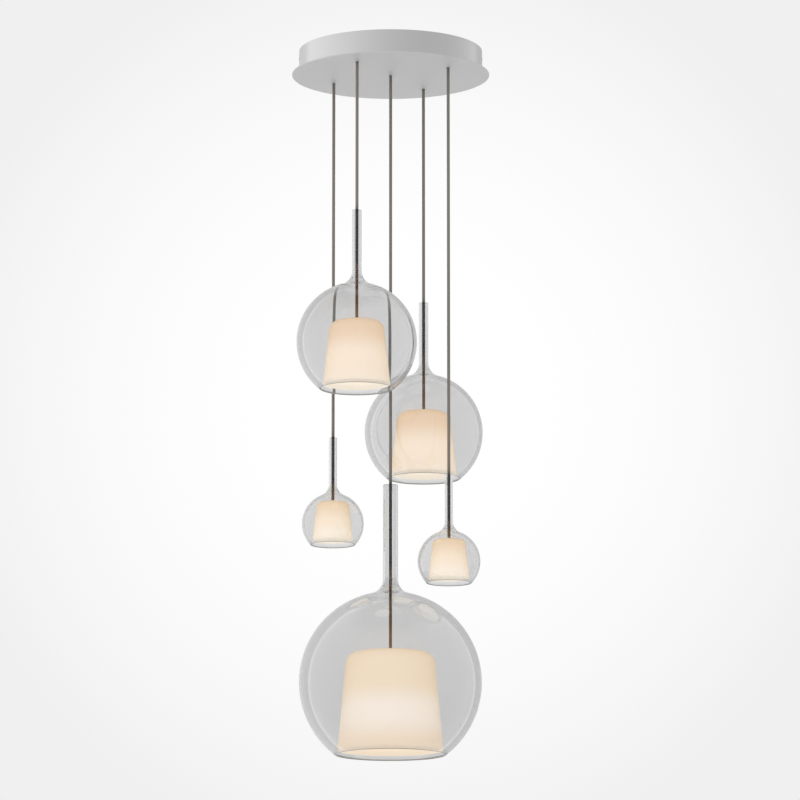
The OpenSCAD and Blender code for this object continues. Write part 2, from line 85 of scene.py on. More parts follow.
# How many steps each curve and each straight stretch of an outline is made of
GLOBE_STEPS = 96
FLARE_STEPS = 24
NECK_STEPS = 12
SHOULDER_STEPS = 24
SHADE_SIDE_STEPS = 24
SHADE_TOP_STEPS = 12
EDGE_STEPS = 8
CORD_STEPS = 24

# The photograph's camera, found from the ellipses of the canopy and the rims
CAMERA_PLACE = (0.01983, -10.650, -2.679)
CAMERA_TILT = math.radians(10.264)
CAMERA_LENS = 232.4
SENSOR_WIDTH = 36.0
CAMERA_REACH = 100.0

# Fixed colours of the hidden pieces, the frosted bulb and the floor
ZINC_COLOURS = ((0.48, 0.50, 0.53), (0.62, 0.64, 0.67))
BRASS_COLOUR = (0.78, 0.57, 0.26)
CAP_COLOUR = (0.05, 0.04, 0.03)
FROST_COLOUR = (0.45, 0.43, 0.40)
LAMPHOLDER_COLOUR = (0.78, 0.78, 0.75)
TERMINAL_COLOUR = (0.74, 0.74, 0.71)
RUBBER_COLOUR = (0.03, 0.03, 0.03)
NYLON_COLOUR = (0.10, 0.10, 0.105)
LEAD_COLOUR = (0.20, 0.175, 0.145)
EARTH_COLOUR = (0.18, 0.34, 0.03)
FLOOR_COLOUR = (0.80, 0.80, 0.80)


def kind_of(pendant):
    """Small, medium or large, from a pendant's name."""
    return pendant.split("_")[0]


def middle_of(node):
    """The axis point (x, y) of a node, from its box."""
    low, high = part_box(node)
    return (low.x + high.x) / 2, (low.y + high.y) / 2


# Meshes


def arc(centre, radius, start, end, steps):
    """Points (r, z) on an arc from one angle to another, in radians."""
    return [
        (
            centre[0] + radius * math.cos(start + (end - start) * i / steps),
            centre[1] + radius * math.sin(start + (end - start) * i / steps),
        )
        for i in range(steps + 1)
    ]


def spaced(start, end, count):
    """Evenly spaced points (r, z) between two points, without the ends."""
    across, up = end[0] - start[0], end[1] - start[1]
    return [(start[0] + across * i / count, start[1] + up * i / count) for i in range(1, count)]


def add_object(name, mesh):
    """Links a new object to the scene's collection."""
    piece = bpy.data.objects.new(name, mesh)
    bpy.context.scene.collection.objects.link(piece)
    return piece


def finish_mesh(name, bm, smooth=True):
    """Turns a bmesh into a named mesh with outward normals."""
    bmesh.ops.remove_doubles(bm, verts=bm.verts, dist=1e-7)
    bmesh.ops.recalc_face_normals(bm, faces=bm.faces)
    mesh = bpy.data.meshes.new(name)
    bm.to_mesh(mesh)
    bm.free()
    for polygon in mesh.polygons:
        polygon.use_smooth = smooth
    return mesh


def join_rings(bm, rings):
    """Makes the faces between each ring of vertices and the next."""
    for ring, after in zip(rings, rings[1:]):
        for j in range(len(ring)):
            k = (j + 1) % len(ring)
            bm.faces.new((ring[j], ring[k], after[k], after[j]))


def turned_mesh(name, outline, place, segments):
    """A closed outline of (r, z) points turned round the vertical line through place."""
    bm = bmesh.new()
    rings = []
    for r, z in outline:
        ring = []
        for j in range(segments):
            turn = 2 * math.pi * j / segments
            x, y = place[0] + r * math.cos(turn), place[1] + r * math.sin(turn)
            ring.append(bm.verts.new((x, y, z)))
        rings.append(ring)
    join_rings(bm, rings + rings[:1])
    return finish_mesh(name, bm)


def tube_mesh(name, path, radius, sides):
    """A closed round tube along a path of points."""
    bm = bmesh.new()
    rings = []
    side = Vector((1, 0, 0))
    count = len(path)
    for i, point in enumerate(path):
        heading = (Vector(path[min(i + 1, count - 1)]) - Vector(path[max(i - 1, 0)])).normalized()
        side = (side - heading * side.dot(heading)).normalized()
        across = heading.cross(side)
        ring = []
        for j in range(sides):
            turn = 2 * math.pi * j / sides
            outward = math.cos(turn) * side + math.sin(turn) * across
            ring.append(bm.verts.new(Vector(point) + radius * outward))
        rings.append(ring)
    join_rings(bm, rings)
    bm.faces.new(rings[0])
    bm.faces.new(rings[-1])
    return finish_mesh(name, bm)


def unwrap_round(mesh, start):
    """Gives each corner its share of a turn round the vertical line through start, and its height."""
    layer = mesh.uv_layers.new(name="UVMap")
    for polygon in mesh.polygons:
        corners = [mesh.vertices[mesh.loops[index].vertex_index].co for index in polygon.loop_indices]
        angles = [math.atan2(corner.y - start[1], corner.x - start[0]) for corner in corners]
        turns = [angle / (2 * math.pi) % 1.0 for angle in angles]
        seam = max(turns) - min(turns) > 0.5
        for index, corner, turn in zip(polygon.loop_indices, corners, turns):
            layer.data[index].uv = (turn + 1.0 if seam and turn < 0.5 else turn, abs(corner.z - start[2]))


# Materials


def new_material(name):
    """A material, its node tree and its Principled shader."""
    material = bpy.data.materials.new(name)
    material.use_nodes = True
    return material, material.node_tree, material.node_tree.nodes["Principled BSDF"]


def add_node(tree, kind, inputs=None, **settings):
    """Adds a node, sets its options, and sets or links its inputs."""
    node = tree.nodes.new(kind)
    for key, value in settings.items():
        setattr(node, key, value)
    for key, value in (inputs or {}).items():
        if isinstance(value, bpy.types.NodeSocket):
            tree.links.new(value, node.inputs[key])
        else:
            node.inputs[key].default_value = value
    return node


def set_inputs(tree, shader, **inputs):
    """Sets or links a shader's sockets by their names, with spaces written as underscores."""
    for key, value in inputs.items():
        socket = shader.inputs[key.replace("_", " ")]
        if isinstance(value, bpy.types.NodeSocket):
            tree.links.new(value, socket)
        else:
            socket.default_value = value


def object_place(tree, stretch=(1, 1, 1)):
    """The place on a piece in its own space, stretched for grain."""
    inputs = {"Vector": add_node(tree, "ShaderNodeTexCoord").outputs["Object"], "Scale": stretch}
    return add_node(tree, "ShaderNodeMapping", inputs).outputs["Vector"]


def coordinate(tree, system, axis):
    """One coordinate of the place on a piece: of its UV map, or as a share of its box."""
    where = add_node(tree, "ShaderNodeTexCoord").outputs[system]
    return add_node(tree, "ShaderNodeSeparateXYZ", {"Vector": where}).outputs[axis]


def calculated(tree, operation, *values):
    """The result of a sum with numbers or linked values."""
    return add_node(tree, "ShaderNodeMath", dict(enumerate(values)), operation=operation).outputs[0]


def noise(tree, scale, detail=3.0, stretch=(1, 1, 1)):
    """A noise pattern's factor in a piece's own space."""
    inputs = {"Vector": object_place(tree, stretch), "Scale": scale, "Detail": detail, "Roughness": 0.5}
    return add_node(tree, "ShaderNodeTexNoise", inputs).outputs["Fac"]


def ramp(tree, factor, stops, blend="LINEAR"):
    """A colour ramp with stops of (place, colour)."""
    node = add_node(tree, "ShaderNodeValToRGB", {"Fac": factor})
    node.color_ramp.interpolation = blend
    elements = node.color_ramp.elements
    while len(elements) < len(stops):
        elements.new(0.5)
    for element, (place, colour) in zip(elements, stops):
        element.position = place
        element.color = (*colour[:3], 1.0)
    return node.outputs["Color"]


def spread(tree, value, low, high, start=0.0, end=1.0):
    """Maps a value that runs from start to end to a range of values."""
    inputs = {"Value": value, "From Min": start, "From Max": end, "To Min": low, "To Max": high}
    return add_node(tree, "ShaderNodeMapRange", inputs).outputs["Result"]


def tinted(tree, factor, colour, darker):
    """A colour that varies between itself and a darker share of itself."""
    return ramp(tree, factor, [(0.25, [c * darker for c in colour]), (0.75, colour)])


def bumped(tree, shader, height, strength, distance):
    """Gives a shader a bump from a height pattern."""
    inputs = {"Height": height, "Strength": strength, "Distance": distance}
    tree.links.new(add_node(tree, "ShaderNodeBump", inputs).outputs["Normal"], shader.inputs["Normal"])


def satin_metal(name, colour, roughness, metal_share):
    """Satin nickel lacquer of the canopy: softly reflecting, with a fine grain and faint clouds."""
    material, tree, shader = new_material(name)
    cloud = noise(tree, scale=9.0)
    grain = noise(tree, scale=2600.0, detail=1.0)
    set_inputs(
        tree,
        shader,
        Base_Color=tinted(tree, cloud, colour, darker=0.985),
        Metallic=metal_share,
        Roughness=spread(tree, cloud, roughness - 0.02, roughness + 0.02),
    )
    bumped(tree, shader, grain, strength=0.06, distance=0.0001)
    return material


def zinc_plate():
    """Bright zinc on pressed steel and screws, with a faint crystal pattern."""
    material, tree, shader = new_material("zinc_plated_steel")
    inputs = {"Vector": object_place(tree), "Scale": 180.0}
    cells = add_node(tree, "ShaderNodeTexVoronoi", inputs).outputs["Distance"]
    set_inputs(
        tree,
        shader,
        Base_Color=ramp(tree, cells, [(0.0, ZINC_COLOURS[0]), (0.8, ZINC_COLOURS[1])]),
        Metallic=1.0,
        Roughness=spread(tree, cells, low=0.28, high=0.42),
    )
    bumped(tree, shader, cells, strength=0.05, distance=0.0002)
    return material


def turned_brass():
    """Turned brass of the terminal screws and earth fixings."""
    material, tree, shader = new_material("turned_brass")
    rings = noise(tree, scale=700.0, detail=2.0, stretch=(1, 1, 12))
    set_inputs(
        tree,
        shader,
        Base_Color=tinted(tree, rings, BRASS_COLOUR, darker=0.85),
        Metallic=1.0,
        Roughness=spread(tree, rings, low=0.22, high=0.4),
    )
    bumped(tree, shader, rings, strength=0.08, distance=0.0001)
    return material


def moulded_plastic(name, colour, roughness):
    """Moulded plastic or rubber with a fine spark-eroded grain."""
    material, tree, shader = new_material(name)
    grain = noise(tree, scale=900.0, detail=2.0)
    cloud = noise(tree, scale=35.0)
    set_inputs(
        tree,
        shader,
        Base_Color=tinted(tree, cloud, colour, darker=0.94),
        Roughness=spread(tree, grain, roughness - 0.05, roughness + 0.07),
    )
    bumped(tree, shader, grain, strength=0.12, distance=0.0001)
    return material


def cord_sleeve(settings):
    """Finely braided sleeve of the cords: a small lozenge weave in a warm grey brown, with painted shade in
    the hollows between strands.
    """
    material, tree, shader = new_material("braided_cord_sleeve")
    pitch = 2 * math.pi / settings.braid_pitch
    along = calculated(tree, "MULTIPLY", coordinate(tree, "UV", "Y"), pitch)
    around = calculated(tree, "MULTIPLY", coordinate(tree, "UV", "X"), 2 * math.pi * settings.braid_strands)
    waves = []
    for sign in ("ADD", "SUBTRACT"):
        waves.append(calculated(tree, "SINE", calculated(tree, sign, along, around)))
    weave = calculated(tree, "MAXIMUM", *waves)
    height = spread(tree, weave, low=0.0, high=1.0, start=-1.0)
    fibre = noise(tree, scale=1800.0, detail=2.0, stretch=(1, 1, 0.2))
    # Painted shade in the hollows of the weave, mixed with the fibres' random tone
    groove_shade_and_fibre = calculated(tree, "MULTIPLY", height, fibre)
    colour = tuple(settings.cord_colour)
    set_inputs(
        tree,
        shader,
        Base_Color=ramp(tree, groove_shade_and_fibre, [(0.0, [c * 0.85 for c in colour]), (0.55, colour)]),
        Roughness=spread(tree, fibre, low=0.5, high=0.68),
        Sheen_Weight=0.25,
        Sheen_Roughness=0.4,
    )
    bumped(tree, shader, height, strength=0.35, distance=0.0003)
    return material


def stem_with_painted_reflection(settings, kind):
    """Stem tube: black chrome inside the glass neck, then a painted reflection of the lit shade in bronze
    that is lighter towards the shade.
    """
    material, tree, shader = new_material("black_and_bronze_stem_" + kind)
    change = REFLECTION_SHARES[kind]
    # Painted reflection: bronze below the neck, lightest at the foot next to the lit shade
    stops = [
        (0.0, settings.lower_reflection_colour),
        (change - 0.02, settings.middle_reflection_colour),
        (change + 0.03, settings.stem_colour),
    ]
    drawn = noise(tree, scale=1500.0, detail=2.0, stretch=(1, 1, 0.02))
    set_inputs(
        tree,
        shader,
        Base_Color=ramp(tree, coordinate(tree, "Generated", "Z"), stops),
        Metallic=1.0,
        Roughness=spread(tree, drawn, low=0.18, high=0.3),
    )
    bumped(tree, shader, drawn, strength=0.04, distance=0.0001)
    return material


def clear_glass(settings, kind):
    """Blown glass with a grey tint, deeper where it thickens at the rim and lighter in the thin neck."""
    material, tree, shader = new_material("clear_blown_glass_" + kind)
    waves = noise(tree, scale=7.0, detail=1.0)
    height = coordinate(tree, "UV", "Y")
    rim = spread(tree, height, low=settings.rim_share, high=1.0, end=settings.rim_band)
    share = coordinate(tree, "Generated", "Z")
    foot = NECK_SHARES[kind]
    neck = spread(tree, share, low=1.0, high=settings.neck_share, start=foot - 0.03, end=foot + 0.03)
    tint = tinted(tree, waves, getattr(settings, kind + "_tint"), darker=0.985)
    inputs = {0: tint, "Scale": calculated(tree, "MULTIPLY", rim, neck)}
    set_inputs(
        tree,
        shader,
        Base_Color=add_node(tree, "ShaderNodeVectorMath", inputs, operation="SCALE").outputs["Vector"],
        Roughness=0.0,
        IOR=settings.glass_ior,
        Transmission_Weight=1.0,
    )
    bumped(tree, shader, waves, strength=0.03, distance=0.0005)
    return material


def ground_rim(settings):
    """The ground and polished edge of a globe's rim, which lets less light through."""
    material, tree, shader = new_material("ground_glass_rim")
    grit = noise(tree, scale=900.0, detail=2.0)
    set_inputs(
        tree,
        shader,
        Base_Color=tinted(tree, grit, settings.rim_colour, darker=0.94),
        Roughness=0.4,
        IOR=settings.glass_ior,
        Transmission_Weight=0.35,
    )
    bumped(tree, shader, grit, strength=0.08, distance=0.0001)
    return material


def clear_moulding(settings):
    """Clear moulded seat between stem and glass."""
    material, tree, shader = new_material("clear_moulded_seat")
    flow = noise(tree, scale=60.0, detail=1.0, stretch=(1, 1, 0.3))
    set_inputs(
        tree,
        shader,
        Base_Color=tinted(tree, flow, settings.seat_tint, darker=0.96),
        Roughness=spread(tree, flow, low=0.02, high=0.08),
        IOR=settings.seat_ior,
        Transmission_Weight=1.0,
    )
    bumped(tree, shader, flow, strength=0.05, distance=0.0005)
    return material


def opal_outside(settings, kind):
    """Satin opal glass with a painted glow for the bulb's light through it: brightest beside the bulb,
    warmer towards its top and foot.
    """
    material, tree, shader = new_material("lit_opal_" + kind)
    stops = [(share, getattr(settings, kind + "_" + part)) for share, part in GLOW_SHARES[kind]]
    cloud = noise(tree, scale=22.0, detail=2.0)
    set_inputs(
        tree,
        shader,
        Base_Color=tinted(tree, cloud, settings.opal_colour, darker=0.97),
        Roughness=0.5,
        Specular_IOR_Level=0.15,
        Coat_Weight=1.0,
        Coat_Roughness=0.25,
        Coat_IOR=1.1,
        Coat_Tint=(*settings.opal_tint, 1.0),
        Emission_Color=ramp(tree, coordinate(tree, "Generated", "Z"), stops, "EASE"),
        Emission_Strength=settings.glow_strength,
    )
    return material


def opal_inside(settings, kind):
    """White inner face of the opal glass, lit by the bulb and by a painted glow that is a little weaker at
    its foot.
    """
    material, tree, shader = new_material("lit_opal_inside_" + kind)
    cloud = noise(tree, scale=22.0, detail=2.0)
    glow = getattr(settings, kind + "_inner")
    foot = [c * settings.inner_foot_share for c in glow]
    stops = list(zip(FOOT_SHARES[kind], (foot, glow)))
    set_inputs(
        tree,
        shader,
        Base_Color=tinted(tree, cloud, settings.inner_colour, darker=0.97),
        Roughness=0.45,
        Emission_Color=ramp(tree, coordinate(tree, "Generated", "Z"), stops),
        Emission_Strength=settings.inner_strength,
    )
    return material


def lit_bulb(settings):
    """Frosted bulb, lit, with its screw cap unlit."""
    material, tree, shader = new_material("frosted_lit_bulb")
    stops = list(zip(BULB_SHARES, (settings.bulb_colour, CAP_COLOUR)))
    frost = noise(tree, scale=400.0, detail=2.0)
    set_inputs(
        tree,
        shader,
        Base_Color=tinted(tree, frost, FROST_COLOUR, darker=0.97),
        Roughness=spread(tree, frost, low=0.35, high=0.5),
        Emission_Color=ramp(tree, coordinate(tree, "Generated", "Z"), stops),
        Emission_Strength=settings.bulb_strength,
    )
    bumped(tree, shader, frost, strength=0.05, distance=0.0001)
    return material


def dress(node, material):
    """Gives a CAD node its material."""
    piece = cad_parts[node]
    for place in piece.material_slots:
        place.material = material
    if not piece.material_slots:
        piece.data.materials.append(material)
    return piece


def place_piece(piece, material, slot, body, *nodes):
    """Gives a new piece its material and body, and lets it stand for its CAD nodes."""
    piece.data.materials.append(material)
    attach(piece, body)
    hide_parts(*nodes)
    return piece


# Settings


class CanopySettings(bpy.types.PropertyGroup):
    drum_colour: FloatVectorProperty(
        name="Drum colour",
        description="Colour of the canopy's side",
        subtype="COLOR", size=3, min=0.0, max=1.0, default=(0.62, 0.62, 0.62),
    )
    plate_colour: FloatVectorProperty(
        name="Plate colour",
        description="Colour of the cover plate",
        subtype="COLOR", size=3, min=0.0, max=1.0, default=(0.65, 0.65, 0.657),
    )
    drum_roughness: FloatProperty(
        name="Drum roughness",
        description="How softly the side of the drum reflects",
        subtype="FACTOR", min=0.05, max=1.0, default=0.34,
    )
    plate_roughness: FloatProperty(
        name="Plate roughness",
        description="How softly the cover plate reflects",
        subtype="FACTOR", min=0.05, max=1.0, default=0.55,
    )
    plate_metal_share: FloatProperty(
        name="Plate metal share",
        description="How metallic the lacquer of the cover plate is",
        subtype="FACTOR", min=0.0, max=1.0, default=0.45,
    )


class CordSettings(bpy.types.PropertyGroup):
    cord_colour: FloatVectorProperty(
        name="Cord colour",
        description="Colour of the braided sleeve",
        subtype="COLOR", size=3, min=0.0, max=1.0, default=(0.245, 0.22, 0.185),
    )
    cord_sides: IntProperty(
        name="Sides",
        description="Sides of the round cord",
        min=8, max=64, default=24,
    )
    braid_pitch: FloatProperty(
        name="Braid pitch",
        description="Length of one turn of a strand",
        subtype="DISTANCE", unit="LENGTH", min=0.002, max=0.05, default=0.009,
    )
    braid_strands: IntProperty(
        name="Strands",
        description="Strands of the braid in each direction",
        min=3, max=24, default=8,
    )


class StemSettings(bpy.types.PropertyGroup):
    stem_colour: FloatVectorProperty(
        name="Upper colour",
        description="Colour of the stem in the neck",
        subtype="COLOR", size=3, min=0.0, max=1.0, default=(0.006, 0.006, 0.007),
    )
    # The middle and lower colours are a painted reflection of the lit shade in the stem
    middle_reflection_colour: FloatVectorProperty(
        name="Middle colour",
        description="Colour of the stem where it leaves the neck",
        subtype="COLOR", size=3, min=0.0, max=1.0, default=(0.13, 0.07, 0.03),
    )
    lower_reflection_colour: FloatVectorProperty(
        name="Lower colour",
        description="Colour of the stem above the shade",
        subtype="COLOR", size=3, min=0.0, max=1.0, default=(0.31, 0.165, 0.075),
    )


class GlassSettings(bpy.types.PropertyGroup):
    small_tint: FloatVectorProperty(
        name="Small glass tint",
        description="Tint of the small globes' glass",
        subtype="COLOR", size=3, min=0.0, max=1.0, default=(0.818, 0.818, 0.818),
    )
    medium_tint: FloatVectorProperty(
        name="Medium glass tint",
        description="Tint of the medium globes' glass",
        subtype="COLOR", size=3, min=0.0, max=1.0, default=(0.787, 0.787, 0.787),
    )
    large_tint: FloatVectorProperty(
        name="Large glass tint",
        description="Tint of the large globe's glass",
        subtype="COLOR", size=3, min=0.0, max=1.0, default=(0.773, 0.773, 0.773),
    )
    rim_band: FloatProperty(
        name="Rim band",
        description="Height over which the tint deepens above the rim",
        subtype="DISTANCE", unit="LENGTH", min=0.001, max=0.1, default=0.01,
    )
    rim_share: FloatProperty(
        name="Rim share",
        description="Share of the tint's light that is left at the rim",
        subtype="FACTOR", min=0.0, max=1.0, default=0.82,
    )
    neck_share: FloatProperty(
        name="Neck share",
        description="How much more light the neck lets through than the globe",
        min=0.5, max=1.2, default=1.078,
    )
    rim_colour: FloatVectorProperty(
        name="Rim colour",
        description="Colour of the ground edge of the rims",
        subtype="COLOR", size=3, min=0.0, max=1.0, default=(0.58, 0.58, 0.58),
    )
    glass_ior: FloatProperty(
        name="Refraction",
        description="Index of refraction of the glass",
        min=1.0, max=2.0, default=1.45,
    )
    seat_tint: FloatVectorProperty(
        name="Seat tint",
        description="Tint of the clear seats",
        subtype="COLOR", size=3, min=0.0, max=1.0, default=(0.93, 0.94, 0.95),
    )
    seat_ior: FloatProperty(
        name="Seat refraction",
        description="Index of refraction of the clear seats",
        min=1.0, max=2.0, default=1.15,
    )
    glass_segments: IntProperty(
        name="Segments",
        description="Segments round each glass",
        min=32, max=256, default=160,
    )


class ShadeSettings(bpy.types.PropertyGroup):
    opal_colour: FloatVectorProperty(
        name="Opal colour",
        description="Colour of the unlit opal glass",
        subtype="COLOR", size=3, min=0.0, max=1.0, default=(0.60, 0.585, 0.56),
    )
    opal_tint: FloatVectorProperty(
        name="Opal tint",
        description="Tint of the light that leaves the glass",
        subtype="COLOR", size=3, min=0.0, max=1.0, default=(0.885, 0.85, 0.79),
    )
    # The shades' light below is a painted glow that stands in for the bulb's light through the opal glass
    large_top: FloatVectorProperty(
        name="Large shade, top",
        description="Light of the large shade at the shoulder",
        subtype="COLOR", size=3, min=0.0, max=1.0, default=(0.858, 0.714, 0.549),
    )
    large_middle: FloatVectorProperty(
        name="Large shade, middle",
        description="Light of the large shade beside the bulb",
        subtype="COLOR", size=3, min=0.0, max=1.0, default=(0.918, 0.845, 0.796),
    )
    large_foot: FloatVectorProperty(
        name="Large shade, foot",
        description="Light of the large shade at the foot",
        subtype="COLOR", size=3, min=0.0, max=1.0, default=(0.849, 0.697, 0.548),
    )
    medium_top: FloatVectorProperty(
        name="Medium shade, top",
        description="Light of the medium shades at the shoulder",
        subtype="COLOR", size=3, min=0.0, max=1.0, default=(0.798, 0.588, 0.417),
    )
    medium_middle: FloatVectorProperty(
        name="Medium shade, middle",
        description="Light of the medium shades beside the bulb",
        subtype="COLOR", size=3, min=0.0, max=1.0, default=(0.960, 0.825, 0.703),
    )
    medium_foot: FloatVectorProperty(
        name="Medium shade, foot",
        description="Light of the medium shades at the foot",
        subtype="COLOR", size=3, min=0.0, max=1.0, default=(0.960, 0.852, 0.747),
    )
    small_top: FloatVectorProperty(
        name="Small shade, top",
        description="Light of the small shades at the shoulder",
        subtype="COLOR", size=3, min=0.0, max=1.0, default=(0.807, 0.625, 0.441),
    )
    small_middle: FloatVectorProperty(
        name="Small shade, middle",
        description="Light of the small shades beside the bulb",
        subtype="COLOR", size=3, min=0.0, max=1.0, default=(0.906, 0.778, 0.648),
    )
    small_foot: FloatVectorProperty(
        name="Small shade, foot",
        description="Light of the small shades at the foot",
        subtype="COLOR", size=3, min=0.0, max=1.0, default=(0.928, 0.846, 0.761),
    )
    glow_strength: FloatProperty(
        name="Glow strength",
        description="Strength of the shade's own light",
        min=0.0, max=10.0, default=1.21,
    )
    inner_colour: FloatVectorProperty(
        name="Inner colour",
        description="Colour of the shade's inner face",
        subtype="COLOR", size=3, min=0.0, max=1.0, default=(0.30, 0.27, 0.22),
    )
    # The inner faces' light below is a painted glow, added to the bulb's own light
    large_inner: FloatVectorProperty(
        name="Large shade, inside",
        description="Light of the large shade's inner face",
        subtype="COLOR", size=3, min=0.0, max=1.0, default=(0.78, 0.655, 0.515),
    )
    medium_inner: FloatVectorProperty(
        name="Medium shade, inside",
        description="Light of the medium shades' inner face",
        subtype="COLOR", size=3, min=0.0, max=1.0, default=(0.805, 0.727, 0.629),
    )
    small_inner: FloatVectorProperty(
        name="Small shade, inside",
        description="Light of the small shades' inner face",
        subtype="COLOR", size=3, min=0.0, max=1.0, default=(0.850, 0.794, 0.680),
    )
    inner_foot_share: FloatProperty(
        name="Inner foot share",
        description="Share of the inner light that is left at the foot",
        subtype="FACTOR", min=0.0, max=1.0, default=0.82,
    )
    inner_strength: FloatProperty(
        name="Inner strength",
        description="Strength of the inner face's light",
        min=0.0, max=10.0, default=0.95,
    )
    bulb_colour: FloatVectorProperty(
        name="Bulb colour",
        description="Light of the bulb",
        subtype="COLOR", size=3, min=0.0, max=1.0, default=(1.0, 0.86, 0.66),
    )
    bulb_strength: FloatProperty(
        name="Bulb strength",
        description="Strength of the bulb's light",
        min=0.0, max=20.0, default=0.62,
    )
    shade_segments: IntProperty(
        name="Segments",
        description="Segments round each shade",
        min=32, max=256, default=128,
    )


class StageSettings(bpy.types.PropertyGroup):
    floor_level: FloatProperty(
        name="Floor level",
        description="Height of the floor, counted from the ceiling",
        subtype="DISTANCE", unit="LENGTH", max=-2.0, default=-3.0,
    )
    room_light: FloatProperty(
        name="Room light",
        description="Strength of the even light of the room",
        min=0.0, max=5.0, default=1.0,
    )
    key_light: FloatProperty(
        name="Key light",
        description="Strength of the soft light from above",
        min=0.0, max=5.0, default=0.7,
    )
    show_floor: BoolProperty(name="Floor", description="Whether there is a floor", default=True)


class ChandelierSettings(bpy.types.PropertyGroup):
    canopy: PointerProperty(type=CanopySettings, name="Canopy", description="Look of the canopy")
    cords: PointerProperty(type=CordSettings, name="Cords", description="Look of the cords")
    stems: PointerProperty(type=StemSettings, name="Stems", description="Look of the stems")
    glass: PointerProperty(type=GlassSettings, name="Glass", description="Look of the globes and seats")
    shades: PointerProperty(type=ShadeSettings, name="Shades", description="Look of the shades and bulbs")
    stage: PointerProperty(type=StageSettings, name="Stage", description="Floor and light")


# Operators


